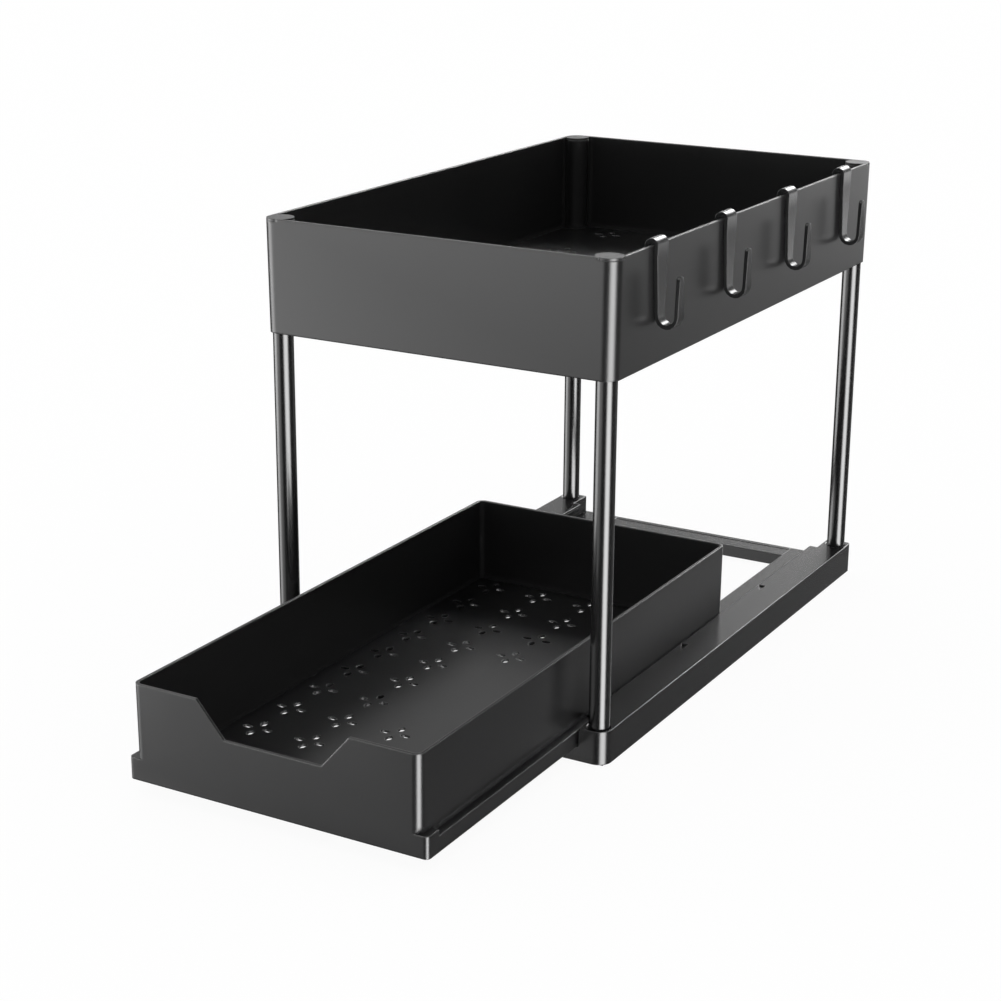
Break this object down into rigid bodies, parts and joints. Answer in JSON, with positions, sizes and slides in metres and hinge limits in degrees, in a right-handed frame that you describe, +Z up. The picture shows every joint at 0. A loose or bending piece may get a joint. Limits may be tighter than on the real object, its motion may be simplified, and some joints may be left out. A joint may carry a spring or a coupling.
{
  "type": "under sink organizer",
  "caption": "Two-tier organizer: low base with a pull-out drawer, tube posts, an open upper tray and hooks hung on its rim.",
  "frame": {"origin": "on the floor, under the middle of the base", "axes": "+Z up, +X to the right as seen from the drawer's front, the drawer pulls out towards -Y"},
  "size_m": [0.2542, 0.5681, 0.3096],
  "materials": {
    "tray_plastic": "satin",
    "base_plastic": "satin",
    "cap_plastic": "satin",
    "hook_plastic": "satin",
    "tube_enamel": "gloss",
    "pad_rubber": "matte"
  },
  "bodies": {
    "stand": {"base_crossbar_front": "base_plastic", "base_crossbar_middle": "base_plastic", "base_crossbar_rear": "base_plastic", "base_rail_left": "base_plastic", "base_rail_right": "base_plastic", "corner_cap_front_left": "cap_plastic", "corner_cap_front_right": "cap_plastic", "corner_cap_rear_left": "cap_plastic", "corner_cap_rear_right": "cap_plastic", "foot_pad_front_left": "pad_rubber", "foot_pad_front_right": "pad_rubber", "foot_pad_rear_left": "pad_rubber", "foot_pad_rear_right": "pad_rubber", "post_front_left": "tube_enamel", "post_front_right": "tube_enamel", "post_rear_left": "tube_enamel", "post_rear_right": "tube_enamel", "upper_tray": "tray_plastic"},
    "drawer": {"drawer": "tray_plastic"},
    "hook_1": {"hook_1": "hook_plastic"},
    "hook_2": {"hook_2": "hook_plastic"},
    "hook_3": {"hook_3": "hook_plastic"},
    "hook_4": {"hook_4": "hook_plastic"}
  },
  "joints": [
    {"name": "drawer_slide", "type": "slide", "parent": "stand", "child": "drawer", "axis": [0, -1, 0], "range_m": [-0.1777, 0.09]},
    {"name": "hook_1_slide", "type": "slide", "parent": "stand", "child": "hook_1", "axis": [0, 1, 0], "range_m": [-0.028, 0.028]},
    {"name": "hook_2_slide", "type": "slide", "parent": "stand", "child": "hook_2", "axis": [0, 1, 0], "range_m": [-0.028, 0.028]},
    {"name": "hook_3_slide", "type": "slide", "parent": "stand", "child": "hook_3", "axis": [0, 1, 0], "range_m": [-0.028, 0.028]},
    {"name": "hook_4_slide", "type": "slide", "parent": "stand", "child": "hook_4", "axis": [0, 1, 0], "range_m": [-0.028, 0.028]}
  ]
}
